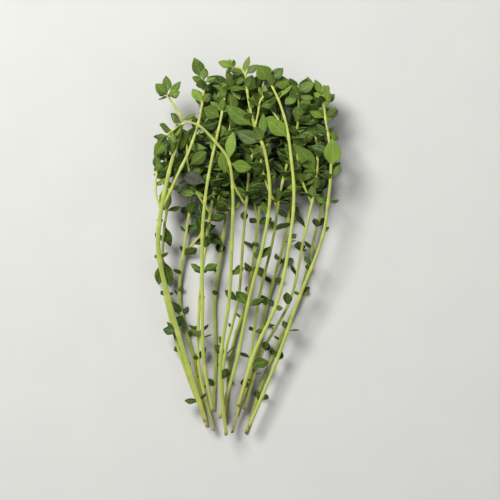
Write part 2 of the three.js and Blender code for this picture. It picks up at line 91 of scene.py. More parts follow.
TIP_STEP = 0.8
ROLL_SPREAD = 0.7
FOOT_STEP = 0.25
FLOOR = 0.3
CEILING = 27.4

# Random numbers come from keys: those of the leaf or stem, then one that tells its numbers apart.
SEED = 20440
LEAF_KEYS = {"lean": 2, "length": 3, "droop": 4, "width_share": 6, "face_up": 8}
AZIMUTH_KEY, BACK_KEY, DROOP_KEY, RETRY_KEY, REACH_KEY, GAP_KEY = 1, 2, 4, 5, 7, 9
OPEN_KEY, BOW_KEY, WAVE_KEY, CUT_KEY, STEM_KEY = 10, 11, 12, 13, 14
LIGHT_KEY, FLUSH_KEY, TINGE_KEY = 20, 21, 22
TIP_PAIR = ((4, math.pi / 2), (5, -math.pi / 2))
SHOWN_KEY = 7
TUFT_KEY = 40
LOWER_KEY = 60
BUD_KEY = 90

# A leaf is in the solids where this many of its six outer corners are this near to a corner there.
MATCH_DISTANCE = 0.13
MATCH_CORNERS = 5

# Fine leaves: stations along the blade, half widths there as a share of the width, and columns.
LEAF_GRID = (
    (0, 0.07, 0.14, 0.2, 0.27, 0.35, 0.44, 0.53, 0.62, 0.71, 0.79, 0.86, 0.92, 0.965, 0.995),
    (0.085, 0.07, 0.075, 0.14, 0.27, 0.395, 0.475, 0.5, 0.475, 0.412, 0.33, 0.235, 0.145, 0.07, 0.012),
    (1, 0.86, 0.6, 0.28, 0, -0.28, -0.6, -0.86, -1),
)
SMALL_GRID = (
    (0, 0.15, 0.3, 0.45, 0.6, 0.75, 0.88, 0.985),
    (0.06, 0.08, 0.3, 0.46, 0.5, 0.38, 0.2, 0.02),
    (1, 0.6, 0, -0.6, -1),
)
FINE_THICKNESS = 0.34
EDGE_THICKNESS = 0.12
FOLD_ROUND = 0.447
GROOVE = 0.07
GROOVE_STRETCH = 1.05
EDGE_CURL = 0.22
CURL_POWER = 4
EDGE_WAVE = 0.16
WAVE_TURN = 7
SIDE_BOW = 0.035
FINE_HEIGHTS = (0.02, 27.7)

# Fine stems: a square section with round corners, swollen where leaves stand.
STEM_SIDES = 16
RING_GAP = 1.1
SQUARENESS = 5
SECTION_SHARE = 0.74
NODE_SWELL = 0.22
NODE_REACH = 1
TIP_TAPER = 1.6
TIP_SHARE = 0.45
CUT_SLANT = 0.35
CUT_TURN = 6
PATTERN_LENGTH = 10

# Small leaves that the solids leave out: round the tips, in the axils, and lower on the stems. The
# front sprigs carry few of them, and none on the stretches where the photo shows bare stems.
SMALL_TRIES = 7
SMALL_SHRINK = 0.07
FRONT_SPRIGS = 6
SMALL_LEAF = {"width_share": (0.45, 0.68), "droop": (0.02, 0.3), "face_up": (0.05, 0.75)}
BUD_LEAF = {**SMALL_LEAF, "lean": (0.45, 0.45), "length": (1.8, 3.4)}
TUFT_LEAF = {**SMALL_LEAF, "lean": (0.3, 1.25)}
LOWER_LEAF = {**SMALL_LEAF, "lean": (0.45, 1.15), "length": (4.6, 8.4)}
# A plan's shade darkens its small leaves as painted shade: the sprigs behind get a dark, shaded mass of
# them behind the front leaves.
FRONT_SMALL = {
    "buds": 2, "tufts": 3, "tuft_leaf": {**TUFT_LEAF, "length": (1.8, 3.8)}, "reach": 1.3,
    "from_tip": 3, "lower_top": 20, "shade": 1,
}
REST_SMALL = {
    "buds": 4, "tufts": 9, "tuft_leaf": {**TUFT_LEAF, "length": (3.6, 9.6)}, "reach": 3.6,
    "from_tip": 0.5, "lower_top": 90, "shade": 0.45,
}
BUD_BACKS = (0.4, 1.2)
BUD_SCATTER = 0.6
BARE_FROM = 0.06
LOWER_ITEMS = 4
LOWER_SHARE = 0.62
LOWER_THINNING = 0.4
LOWER_SCATTER = 0.9
SECOND_PAIR_SIZE = 0.6
SECOND_PAIR_GAP = 0.6

# Spots of a small leaf, as shares of its length and of its width aside. All five stay inside the bundle,
# the first four keep off the other solids, and the first two off its own sprig's.
CLEAR_SPOTS = ((1, 0), (0.75, 0), (WIDEST, 0.5), (WIDEST, -0.5), (0.35, 0))
OTHER_SPOTS, OTHER_CLEARANCE = 4, 0.35
OWN_SPOTS, OWN_CLEARANCE = 2, 0.175
SIDE_LIMIT = 37.6

# On the left the photo shows more stems: left of this x, this share of the axil leaves is missing.
OPEN_SIDE_X = -12
OPEN_SHARE = 0.62

# What the photo shows stays in sight: no small leaf stands this near above a front stem or a
# leaf that it shows, which are sampled at these steps and places.
SEEN_REACH = 1.1
SEEN_STEP = 1
SEEN_SHARES = (0.2, 0.4, 0.6, 0.8, 0.95)
SEEN_SIDES = (-0.3, 0, 0.3)

# Round gaps through which the photo shows pale ground: pixels across and down, and radius in mm.
GAPS = (
    (215, 93, 2.6), (227, 102, 2.2), (236, 104, 2.4), (263, 87, 2.2), (276, 107, 2.0), (197, 84, 2.0),
    (207, 127, 2.2), (197, 158, 1.6), (187, 149, 1.8), (166, 178, 2.8), (180, 187, 3.4), (236, 78, 1.6),
)

# How light the leaves are that the photo shows one by one.
DARK_LIGHTS = (0.1, 0.28)
PALE_LIGHTS = (0.75, 1)
MIDDLE_LIGHTS = (0.4, 0.75)

# How many of the other leaves are flushed with purple, and how strongly. All others have a tinge at most.
PURPLE_SHARE = 0.07
PURPLE_FLUSH = 0.8
PURPLE_TINGE = 0.3

# Leaves are painted darker low in the bundle, between these heights, as painted shade where the sprigs
# shade each other, and young and paler near the tips.
FRONT_LEAF_Z = 18
DEEP_LEAF_Z = 8
DEEP_SHADE = 0.15
YOUNG_REACH = 9

# Patterns: features a metre and layers of detail, the phase that side veins run through and their
# slant, and for the fibres of stems how the pattern is stretched along and round.
LEAF_CLOUD = (420, 2)
LEAF_GRAIN = (2600, 3)
LEAF_GLANDS = 2800
VEIN_TURNS = 34
VEIN_SLANT = 0.3
STEM_CLOUD = (160, 2)
STEM_STREAKS = (1.2, 26)
STEM_FIBRES = (1.6, 3)
PITH_GRAIN = (5200, 3)
FLOOR_GRAIN = (40, 2)

# Where a pattern fades in or out, as the values between which it does.
GLAND_FADE = (0.3, 0.12)
MIDRIB_FADE = (0.13, 0.03)
VEIN_FADE = (0.72, 1)
VEIN_END_FADE = (0.95, 0.5)
STAIN_FADE = (0.25, 0.5)
RIM_FADE = (0.86, 1)
RIDGE_FADE = (0.2, -0.9)
FLUSH_FADE = (0.56, 0.74)
FOOT_FADE = (0.12, 0)
PITH_FADE = (0.35, 0.65)

# How much each number counts: for a leaf's lightness its own, a pattern and its youth, for a stem's its
# own and the fibres. The last is taken off the sum.
LEAF_WEIGHTS, LEAF_LESS = (0.95, 0.75, 0.2), 0.46
STEM_WEIGHTS, STEM_LESS = (0.35, 0.75), 0.1
SIDE_VEIN_WEIGHT = 0.55

# A leaf's two faces, as linear red, green and blue: dark and light green, how pale the veins are, and
# how far the grain, the veins and the glands stand out.
UPPER_FACE = {
    "dark": (0.013, 0.043, 0.003, 1), "light": (0.15, 0.24, 0.025, 1), "veins": 0.34,
    "relief": (0.6, -0.9, -0.3),
}
UNDER_FACE = {
    "dark": (0.065, 0.115, 0.018, 1), "light": (0.2, 0.28, 0.06, 1), "veins": 0.5,
    "relief": (0.6, 1, -0.3),
}

# Coats laid over these greens and the stem's: how much each covers where it is strongest, and its colour.
YOUNG_COAT = (0.22, (0.19, 0.28, 0.045, 1))
VEIN_COLOUR = (0.27, 0.35, 0.085, 1)
PURPLE_COAT = (1, (0.02, 0.02, 0.013, 1))
RIM_COAT = (0.3, (0.15, 0.22, 0.03, 1))
GLAND_COAT = (0.28, (0.03, 0.07, 0.006, 1))
STEM_COLOURS = ((0.16, 0.22, 0.028, 1), (0.44, 0.49, 0.1, 1))
NODE_COAT = (0.55, (0.42, 0.4, 0.07, 1))
RIDGE_COAT = (0.3, (0.46, 0.52, 0.14, 1))
FLUSH_COAT = (0.35, (0.22, 0.12, 0.06, 1))
FOOT_COAT = (0.5, (0.3, 0.26, 0.09, 1))
PITH_COLOURS = ((0.3, 0.28, 0.12, 1), (0.62, 0.62, 0.36, 1))
FLOOR_COLOURS = ((0.42, 0.425, 0.425, 1), (0.455, 0.455, 0.45, 1))
WHITE = (1, 1, 1, 1)

# Surfaces: what the shader is set to, roughness over a pattern, and bumps as strength and metres.
LEAF_SHADER = {
    "Specular IOR Level": 0.22, "Subsurface Weight": 0.12, "Subsurface Radius": (0.5, 1.0, 0.2),
    "Subsurface Scale": 0.0006,
}
STEM_SHADER = {
    "Specular IOR Level": 0.5, "Subsurface Weight": 0.15, "Subsurface Radius": (1.0, 1.0, 0.3),
    "Subsurface Scale": 0.0008,
}
LEAF_ROUGHNESS = (0.2, 0.8, 0.42, 0.66)
STEM_ROUGHNESS = (0.3, 0.7, 0.36, 0.56)
PITH_ROUGHNESS = 0.7
FLOOR_ROUGHNESS = 0.75
LEAF_BUMP = (0.55, 0.00012)
STEM_BUMP = (0.5, 0.00012)
STEM_RELIEF = (1, 0.6)
PITH_BUMP = (0.6, 0.0001)

# The studio, in metres and watts.
FLOOR_SIZE = 3
WORLD_STRENGTH = 0.15
LIGHTS = (
    ("key", (-0.38, 0.45, 0.85), 0.42, 19.0, (1.0, 0.985, 0.94)),
    ("fill", (0.6, -0.3, 0.8), 0.8, 2.2, (0.97, 0.99, 1.0)),
)

# What the sprigs of a layer share: radii of the stem at its cut end and its tip in mm, where its leaves
# start as a share of its length, and the gaps between its pairs as a share of the usual ones.
FRONT = {"radii": (0.95, 0.5), "spread": 1, "shoots": ()}
MIDDLE = {"radii": (0.8, 0.46), "leafy": 0.64, "spread": 0.78, "shown": ()}
BACK = {"radii": (0.9, 0.46), "leafy": 0.7, "spread": 0.66, "shoots": (), "shown": ()}

# The sprigs, front ones first, as in the solids, but for the first shoot of all, which the photo
# shows thinner. Turn is how the pairs are turned, in radians. A route runs from the cut end to the tip,
# each point as pixels across and down the photo, then the height in mm. A side shoot has a route, or
# a rule: where on the stem it starts, how far it bends from it in radians, and its length and lift in mm.
# Shown leaves are those that the photo shows one by one: foot across and down, tip across and down,
# the tip's height in mm, and the width as a share of the length. By their numbers in that list, some are
# dark, pale or purple.
SPRIGS = [
    {
        **FRONT, "name": "sprig_left_front", "radii": (1.35, 0.5), "leafy": 0.97, "turn": 0.3,
        "route": [
            (205, 424, 8.6), (185, 360, 10), (168, 300, 13), (158, 250, 17), (161, 210, 19), (170, 168, 20),
            (180, 133, 20.5), (182, 119, 20.5), (171, 101, 20), (166, 93, 20),
        ],
        "shoots": [
            {"radii": (0.78, 0.46), "leafy": 0.7, "route": [
                (161, 210, 19), (169, 194, 19.6), (179, 172, 20.4), (189, 151, 20), (198, 124, 19.4),
                (203, 98, 19), (204, 78, 19),
            ]},
            {"radii": (0.55, 0.46), "route": [
                (161, 210, 19), (156, 194, 18.6), (156, 175, 18), (159, 160, 17),
            ]},
        ],
        "shown": [
            (204, 79, 194, 58, 21, 0.56), (203, 82, 192, 77, 20, 0.6), (203, 91, 215, 104, 17.5, 0.42),
            (167, 95, 156, 84, 21.5, 0.72), (168, 97, 180, 92, 21, 0.75), (167, 94, 166, 75, 19.6, 0.5),
            (168, 95, 181, 81, 19, 0.38), (181, 127, 180, 151, 17, 0.46), (182, 120, 196, 113, 20, 0.32),
            (156, 178, 171, 161, 16.6, 0.7), (158, 172, 157, 153, 17, 0.45),
            (170, 168, 190, 158, 16.4, 0.6),
        ],
        "dark": (2, 9, 11), "purple": (2,),
    },
    {
        **FRONT, "name": "sprig_arching", "leafy": 0.93, "turn": 1.2,
        "route": [
            (226, 437, 12.2), (220, 368, 15), (229, 300, 18), (232, 240, 21.5), (233, 195, 23.6),
            (229, 162, 24.6), (216, 143, 25), (200, 127, 25), (186, 123.5, 25), (173, 131, 24.4),
            (165, 139, 23),
        ],
        "shown": [
            (166, 138, 155, 155, 21, 0.6), (172, 132, 172, 154, 21.6, 0.36), (229, 163, 233, 132, 25, 0.36),
            (230, 165, 252, 168, 23.4, 0.56), (221, 150, 226, 174, 22.6, 0.42),
        ],
        "pale": (0, 2, 4),
    },
    {
        **FRONT, "name": "sprig_left_centre", "leafy": 0.88, "turn": 0.2,
        "route": [
            (212, 413, 8.8), (203, 360, 11), (202, 300, 14.5), (202, 240, 17.5), (205, 200, 19),
            (210, 168, 20), (216, 141, 20), (221, 118, 19.6), (224, 100, 18.6), (226, 88, 18),
        ],
        "shown": [
            (221, 118, 204, 108, 21.6, 0.75), (220, 121, 202, 126, 18, 0.62),
            (222, 114, 223, 98, 20.6, 0.42), (207, 184, 181, 173, 15, 0.5),
        ],
        "dark": (1, 3), "purple": (3,),
    },
    {
        **FRONT, "name": "sprig_centre_front", "leafy": 0.7, "turn": 0.9, "spread": 1.4,
        "route": [
            (219, 421, 8.6), (236, 364, 11), (249, 300, 15), (264, 240, 18), (270, 195, 19.5),
            (266, 157, 20.5), (260, 138, 21), (255, 127, 21), (250, 108, 21), (247, 90, 21), (246, 77, 21),
            (241, 69, 20.6), (231, 66, 20),
        ],
        "shoots": [
            {"radii": (0.5, 0.46), "route": [
                (255, 127, 21), (258, 114, 21.6), (260, 102, 22), (266, 94, 22),
            ]},
        ],
        "shown": [
            (255, 127, 226, 106, 23.4, 0.42), (251, 112, 253, 96, 22.8, 0.36), (263, 98, 273, 94, 23, 0.5),
            (261, 141, 263, 114, 23.6, 0.32), (262, 143, 236, 131, 18.4, 0.5), (246, 75, 258, 65, 22, 0.48),
            (234, 66, 218, 62, 21, 0.5), (246, 78, 236, 84, 19.6, 0.5),
        ],
        "dark": (4,), "pale": (3, 6),
    },
    {
        **FRONT, "name": "sprig_right_centre", "leafy": 0.9, "turn": 0.1,
        "route": [
            (238, 408, 8.5), (254, 355, 11), (278, 300, 15), (290, 240, 18), (294, 195, 19.5),
            (291, 157, 20.5), (287, 128, 21), (280, 104, 21), (271, 84, 20.5), (268, 76, 20),
        ],
        "shoots": [
            {"radii": (0.5, 0.46), "route": [
                (289, 142, 20.7), (283, 127, 18.6), (274, 113, 17), (264, 101, 16),
            ]},
        ],
        "shown": [
            (270, 83, 258, 66, 22, 0.75), (270, 82, 283, 68, 21, 0.6), (272, 86, 290, 80, 19.4, 0.74),
            (289, 139, 267, 119, 23, 0.52), (286, 127, 287, 103, 17.6, 0.42),
        ],
        "dark": (4,), "pale": (3,), "purple": (4,),
    },
    {
        **FRONT, "name": "sprig_right_front", "leafy": 0.66, "turn": 0.6,
        "route": [
            (249, 430, 8.4), (277, 362, 10), (299, 300, 14), (322, 240, 17), (329, 195, 19.5),
            (331, 165, 20.5), (329, 140, 20), (326, 122, 19.6), (324, 104, 19.2), (323, 92, 19),
        ],
        "shown": [
            (330, 169, 332, 139, 23.4, 0.58), (328, 132, 339, 140, 19, 0.6),
            (324, 110, 328, 89, 21.6, 0.44), (326, 124, 336, 107, 20.4, 0.42),
            (330, 152, 310, 146, 18.4, 0.4), (323, 96, 315, 79, 19.4, 0.4),
        ],
        "dark": (4,), "pale": (0, 2),
    },
    {
        **MIDDLE, "name": "sprig_left_middle", "leafy": 0.46, "turn": 1, "spread": 0.84,
        "route": [
            (196, 404, 5.2), (177, 350, 6), (163, 290, 8), (162, 240, 10.4), (168, 200, 12), (176, 170, 13),
            (190, 143, 13.4), (206, 120, 13.4), (216, 100, 13),
        ],
        "shoots": [{"rule": (0.68, 0.4, 20, 2.4)}],
        "shown": [
            (164, 214, 165, 186, 12.6, 0.46), (165, 224, 169, 247, 9, 0.42), (163, 258, 169, 288, 8, 0.4),
            (162, 262, 157, 286, 6, 0.4),
        ],
    },
    {
        **MIDDLE, "name": "sprig_mid_left_middle", "turn": 0.4,
        "route": [
            (213, 434, 5), (198, 368, 6.5), (199, 300, 9), (206, 240, 11), (213, 195, 12.5),
            (222, 160, 13.5), (230, 125, 13.6), (232, 96, 14), (231, 79, 15),
        ],
        "shoots": [{"rule": (0.62, 0.7, 30, 3.3)}],
        "shown": [
            (231, 83, 217, 90, 13.4, 0.66), (232, 90, 231, 104, 14, 0.6), (231, 85, 216, 97, 17.4, 0.3),
            (232, 84, 240, 99, 17, 0.46), (231, 90, 207, 76, 16, 0.5), (231, 80, 247, 73, 15.6, 0.6),
        ],
        "dark": (0, 1, 4, 5), "pale": (2, 3),
    },
    {
        **MIDDLE, "name": "sprig_centre_middle", "turn": 1.3,
        "route": [
            (222, 416, 5.2), (224, 360, 6.5), (238, 300, 9), (243, 240, 11.5), (247, 195, 13),
            (250, 165, 14), (257, 135, 14), (261, 108, 13.5), (257, 88, 13),
        ],
        "shoots": [{"rule": (0.64, 0.6, 30, 3.2)}],
    },
    {
        **MIDDLE, "name": "sprig_mid_right_middle", "turn": 0.7,
        "route": [
            (232, 436, 5.1), (249, 368, 6.5), (259, 300, 9), (273, 240, 11.5), (280, 195, 13),
            (287, 165, 13.5), (296, 135, 14.5), (299, 110, 16.5), (297, 91, 18.5),
        ],
        "shoots": [{"rule": (0.66, 0.6, 28, 2.6)}],
        "shown": [
            (297, 92, 314, 83, 20.6, 0.6), (297, 93, 285, 104, 20.2, 0.62), (298, 97, 314, 98, 18.6, 0.5),
        ],
    },
    {
        **MIDDLE, "name": "sprig_right_middle", "turn": 0.2,
        "route": [
            (244, 412, 5), (262, 355, 6.5), (291, 300, 9), (304, 240, 11.5), (314, 195, 13),
            (318, 165, 13.6), (316, 135, 14), (311, 110, 14), (314, 90, 14),
        ],
        "shoots": [{"rule": (0.66, 0.6, 28, 3)}],
        "shown": [
            (316, 174, 298, 146, 19, 0.42),
        ],
        "pale": (0,),
    },
    {
        **BACK, "name": "sprig_left_back", "turn": 0.8,
        "route": [
            (206, 431, 0.6), (192, 360, 0.64), (178, 300, 1.6), (184, 240, 4.4), (190, 200, 5),
            (192, 172, 5.5), (190, 150, 6), (186, 136, 6.4),
        ],
        "shoots": [{"rule": (0.6, -0.6, 30, 4)}],
    },
    {
        **BACK, "name": "sprig_mid_left_back", "turn": 0.3,
        "route": [
            (213, 415, 0.6), (215, 355, 0.64), (214, 300, 1.6), (222, 240, 4.4), (228, 195, 5),
            (226, 160, 5.5), (219, 130, 6), (213, 106, 6.4), (213, 84, 7),
        ],
        "shoots": [{"rule": (0.6, 0.35, 30, 1)}],
    },
    {
        **BACK, "name": "sprig_centre_back", "turn": 1.1,
        "route": [
            (225, 427, 0.6), (231, 355, 0.64), (247, 300, 1.6), (256, 240, 4.4), (260, 195, 5.2),
            (256, 160, 5.6), (247, 130, 6), (243, 104, 6.4), (246, 84, 7),
        ],
        "shoots": [{"rule": (0.6, 0.3, 30, 1)}],
    },
    {
        **BACK, "name": "sprig_mid_right_back", "turn": 0.5,
        "route": [
            (236, 420, 0.6), (256, 362, 0.64), (269, 300, 1.6), (285, 240, 4.4), (291, 195, 5.2),
            (287, 160, 5.6), (279, 130, 6), (275, 104, 6.4), (273, 84, 7),
        ],
    },
    {
        **BACK, "name": "sprig_right_back", "turn": 0,
        "route": [
            (246, 437, 0.6), (269, 368, 0.64), (300, 300, 1.6), (315, 240, 4.4), (324, 200, 5.2),
            (323, 165, 5.6), (315, 135, 6), (306, 110, 6.4), (300, 90, 7),
        ],
        "shoots": [{"rule": (0.66, 0.5, 26, 4)}],
    },
]

UP = np.array((0.0, 0.0, 1.0))
TURN = 2 * math.pi


def unit(vectors):
    """A vector, or each row of an array, with length 1."""
    return vectors / np.linalg.norm(vectors, axis=-1, keepdims=True)


def mix(low, high, share):
    return low + (high - low) * share


def draw(*keys):
    """A number from 0 to 1 that depends only on its keys."""
    value = SEED
    for key in (*keys, SEED):
        value = ((value ^ key) * 2654435761) & 0xFFFFFFFF
        value ^= value >> 15
    return value / 2**32


def draw_within(limits, *keys):
    """A number within limits that depends only on its keys."""
    return mix(*limits, draw(*keys))


def draw_aside(*keys):
    """A number from -0.5 to 0.5 that depends only on its keys."""
    return draw(*keys) - 0.5


def place(spot):
    """A point given as pixels across and down the photo and a height."""
    x, y, height = spot
    return np.array(((x - MIDDLE_X) * MM_PER_PIXEL, (MIDDLE_Y - y) * MM_PER_PIXEL, height))


def distances_along(points):
    """How far along a line each of its points is."""
    return np.concatenate(([0], np.cumsum(np.linalg.norm(np.diff(points, axis=0), axis=1))))


class Line:
    """A stem's line: the smooth curve through its route, and the straight steps of its solid."""

    def __init__(self, route, steps):
        self.knots = np.array([2 * route[0] - route[1], *route, 2 * route[-1] - route[-2]])
        self.steps = steps
        self.points = np.array([self.smooth(i / steps) for i in range(steps + 1)])
        self.distances = distances_along(self.points)
        self.length = self.distances[-1]

    def smooth(self, share):
        """The point of the smooth curve at a share of it."""
        spans = len(self.knots) - 3
        span = min(int(share * spans), spans - 1)
        w = share * spans - span
        before, start, end, after = self.knots[span : span + 4]
        leave = (end - before) / 2
        arrive = (after - start) / 2
        square = 3 * (end - start) - 2 * leave - arrive
        cube = 2 * (start - end) + leave + arrive
        return start + w * (leave + w * (square + w * cube))

    def at(self, distance):
        """The solid's point and direction at a distance along it, and how far the curve is from it."""
        i = 1
        while i < self.steps and self.distances[i] < distance:
            i += 1
        share = (distance - self.distances[i - 1]) / (self.distances[i] - self.distances[i - 1])
        point = mix(self.points[i - 1], self.points[i], share)
        tangent = unit(self.points[i] - self.points[i - 1])
        return point, tangent, self.smooth((i - 1 + share) / self.steps) - point


def shoot_route(line, at, bend, length, lift):
    """The route of a side shoot that leaves its stem at an angle, then turns to run beside it."""
    start, tangent, _ = line.at(at * line.length)
    heading = math.atan2(tangent[1], tangent[0])
    step = length / len(SHOOT_BENDS)
    route = [start]
    for bend_share, lift_share in zip(SHOOT_BENDS, SHOOT_LIFTS):
        angle = heading + bend * bend_share
        rise = lift * lift_share + tangent[2] * step
        route.append(route[-1] + np.array((step * math.cos(angle), step * math.sin(angle), rise)))
    return route


def stems_of(sprig):
    """The lines of a sprig, main stem first, each with its radii and where its leaves start."""
    main = Line([place(spot) for spot in sprig["route"]], STEM_STEPS)
    stems = [(main, sprig["radii"], sprig["leafy"])]
    for shoot in sprig["shoots"]:
        by_rule = "rule" in shoot
        route = shoot_route(main, *shoot["rule"]) if by_rule else [place(spot) for spot in shoot["route"]]
        line = Line(route, SHOOT_STEPS)
        stems.append((line, shoot.get("radii", SHOOT_RADII), shoot.get("leafy", SHOOT_LEAFY)))
    return stems


def pair_places(key_start, line, leafy, sprig):
    """How far back from its tip a shoot's pairs stand, down to where its leaves start."""
    back = TIP_GAP
    pair = 0
    while line.length - back > line.length * leafy:
        yield back
        gap = PAIR_GAPS[min(pair, len(PAIR_GAPS) - 1)]
        back += gap * sprig["spread"] * draw_within(GAP_RANGE, *key_start, pair, GAP_KEY)
        pair += 1


def leaf_on(line, distance, key, azimuth, ranges, size=1):
    """A leaf that stands by rule, at a distance along its stem."""
    point, tangent, bend = line.at(distance)
    back = line.length - distance
    leaf = {name: draw_within(ranges[name], *key, number) for name, number in LEAF_KEYS.items()}
    leaf["length"] *= size
    return dict(leaf, key=key, point=point, tangent=tangent, bend=bend, back=back, azimuth=azimuth)


def paired_leaves(key_start, line, leafy, sprig):
    """The leaves of a shoot that its solid has too, tip first."""
    spots = [(0, item, TIP_GAP / 2, side, TIP_LEAF) for item, side in TIP_PAIR]
    for pair, back in enumerate(pair_places(key_start, line, leafy, sprig)):
        spots += [(pair, item, back, pair * TURN / 4 + item * TURN / 2, PAIR_LEAF) for item in (0, 1)]
    for pair, item, back, azimuth, ranges in spots:
        key = (*key_start, pair, item)
        azimuth += sprig["turn"] + draw_aside(*key, AZIMUTH_KEY) * AZIMUTH_SPREAD
        size = PAIR_LENGTHS[min(pair, len(PAIR_LENGTHS) - 1)]
        yield leaf_on(line, line.length - back, key, azimuth, ranges, size)


def shown_leaf(key, stems, spots):
    """A leaf that the photo shows, rooted where its sprig's lines pass nearest to its foot."""
    foot_x, foot_y, tip_x, tip_y, tip_height, width_share = spots
    foot = place((foot_x, foot_y, 0))
    nearest = math.inf
    for line, _, _ in stems:
        for distance in np.arange(0, line.length, FOOT_STEP):
            point, _, bend = line.at(distance)
            gap = math.hypot(point[0] - foot[0], point[1] - foot[1])
            if gap < nearest:
                nearest, root, root_bend = gap, point, bend
    return {
        "key": key, "point": root, "bend": root_bend, "tip": place((tip_x, tip_y, tip_height)),
        "width_share": width_share, "droop": draw_within(SHOWN_DROOP_RANGE, *key, DROOP_KEY),
    }


def shown_leaves(number, sprig, stems):
    """The leaves of a sprig that the photo shows."""
    return [shown_leaf((number, SHOWN_KEY, i), stems, spots) for i, spots in enumerate(sprig["shown"])]


def turn_of(attempt):
    """The turns to try: 0, 1, -1, 2, -2 and so on."""
    return (1 if attempt % 2 else -1) * math.ceil(attempt / 2)


def swung_directions(leaf, attempt):
    """The directions and length of a leaf that stands on its stem by rule, at one attempt."""
    tangent, face_up = leaf["tangent"], leaf["face_up"]
    retry = draw_aside(*leaf["key"], RETRY_KEY, attempt) * LEAN_RETRY if attempt else 0
    lean = leaf["lean"] + retry
    azimuth = leaf["azimuth"] + turn_of(attempt) * SWING
    side = unit(np.cross(tangent, UP))
    outward = side * math.cos(azimuth) + np.cross(side, tangent) * math.sin(azimuth)
    along = tangent * math.cos(lean) + outward * math.sin(lean)
    face = tangent * math.sin(lean) - outward * math.cos(lean)
    along[2] *= PRESSED
    normal = face * (1 - face_up) + UP * (-face_up if face[2] < 0 else face_up)
    return unit(along), normal, leaf["length"] * (1 - SHRINK * attempt)


def aimed_directions(leaf, attempt):
    """The directions and length of a leaf that the photo shows, at one attempt."""
    along = leaf["tip"] - leaf["point"]
    along[2] += turn_of(attempt) * TIP_STEP
    roll = draw_aside(*leaf["key"], RETRY_KEY, attempt) * ROLL_SPREAD
    normal = UP + unit(np.array((-along[1], along[0], 0))) * roll
    return unit(along), normal, np.linalg.norm(along)


def pose_of(leaf, attempt):
    """Where a leaf stands at one attempt: its root, its three directions and its size."""
    along, normal, length = (aimed_directions if "tip" in leaf else swung_directions)(leaf, attempt)
    normal = unit(normal - along * normal.dot(along))
    return {
        "root": leaf["point"], "along": along, "normal": normal, "across": np.cross(normal, along),
        "length": length, "width": length * leaf["width_share"], "droop": leaf["droop"],
    }


def spot_on(pose, share, aside, fold=0):
    """A point of a blade at a share of its length, and at a share of its width aside of its midrib."""
    across = aside * pose["width"]
    height = fold * abs(across) - pose["droop"] * pose["length"] * share * share
    along = pose["along"] * (share * pose["length"])
    return pose["root"] + along + pose["across"] * across + pose["normal"] * height


def blade_corners(pose):
    """The six outer corners of a leaf's solid: both faces at its tip and at its widest."""
    for share, aside in ((1, 0), (WIDEST, 0.5), (WIDEST, -0.5)):
        point = spot_on(pose, share, aside, FOLD)
        point[2] = np.clip(point[2], FLOOR, CEILING)
        for face in (0.5, -0.5):
            yield point + pose["normal"] * (face * BLADE_THICKNESS)


def solid_pose(leaf, corners):
    """The pose in which a leaf is found in its sprig's solid, or None where it was left out."""
    for attempt in range(ATTEMPTS):
        pose = pose_of(leaf, attempt)
        gaps = np.linalg.norm(np.array([*blade_corners(pose)])[:, None] - corners, axis=2)
        if np.sum(gaps.min(axis=1) < MATCH_DISTANCE) >= MATCH_CORNERS:
            return pose
    return None


def put(name, data):
    """Puts a new object in the scene."""
    thing = bpy.data.objects.new(name, data)
    bpy.context.scene.collection.objects.link(thing)
    return thing


class Surface:
    """The points and faces of a piece while it is made, in millimetres."""

    def __init__(self):
        self.parts = []
        self.faces = []
        self.slots = []
        self.count = 0

    def add(self, points, faces, slots, uvs, tints):
        """Adds points of shape (n, 3) with their uvs and tints, and faces that count from 0."""
        self.parts.append((points, uvs, np.broadcast_to(tints, (len(points), 4))))
        self.faces += [[self.count + i for i in face] for face in faces]
        self.slots += slots
        self.count += len(points)

    def finish(self, name, materials):
        points, uvs, tints = (np.concatenate(column) for column in zip(*self.parts))
        mesh = bpy.data.meshes.new(name)
        mesh.from_pydata((points * METRE).tolist(), [], self.faces)
        for material in materials:
            mesh.materials.append(material)
        mesh.polygons.foreach_set("material_index", self.slots)
        mesh.polygons.foreach_set("use_smooth", [True] * len(self.faces))
        corners = np.empty(len(mesh.loops), int)
        mesh.loops.foreach_get("vertex_index", corners)
        mesh.uv_layers.new(name="blade").data.foreach_set("uv", uvs[corners].ravel())
        mesh.color_attributes.new("tint", "FLOAT_COLOR", "POINT").data.foreach_set("color", tints.ravel())
        mesh.update()
        return put(name, mesh)


def blade_faces(rows, columns):
    """The upper faces of a blade, then the lower ones with those round its rim."""
    grid = np.arange(rows * columns).reshape(rows, columns)
    corners = (grid[:-1, :-1], grid[:-1, 1:], grid[1:, 1:], grid[1:, :-1])
    upper = np.stack(corners, axis=-1).reshape(-1, 4)
    lower = upper[:, ::-1] + grid.size
    rim = np.concatenate((grid[0], grid[1:, -1], grid[-1, -2::-1], grid[-2:0:-1, 0]))
    following = np.roll(rim, -1)
    round_rim = np.stack((following, rim, rim + grid.size, following + grid.size), axis=-1)
    return upper.tolist(), np.concatenate((lower, round_rim)).tolist()


def blade_heights(pose, share, out, half, key):
    """How high a blade's middle is at each point over the flat, and how deep its groove."""
    fold = FOLD * (np.hypot(half * out, FOLD_ROUND) - FOLD_ROUND)
    curl = EDGE_CURL * np.abs(out) ** CURL_POWER * (half / (pose["width"] / 2)) ** 2
    phase = draw(*key, WAVE_KEY) * TURN
    wave = EDGE_WAVE * out * np.sin(WAVE_TURN * share + phase + out) * np.sin(math.pi * share)
    groove = GROOVE * (out == 0) * np.sin(math.pi * np.clip(share * GROOVE_STRETCH, 0, 1))
    return fold - curl + wave - pose["droop"] * pose["length"] * share**2, groove


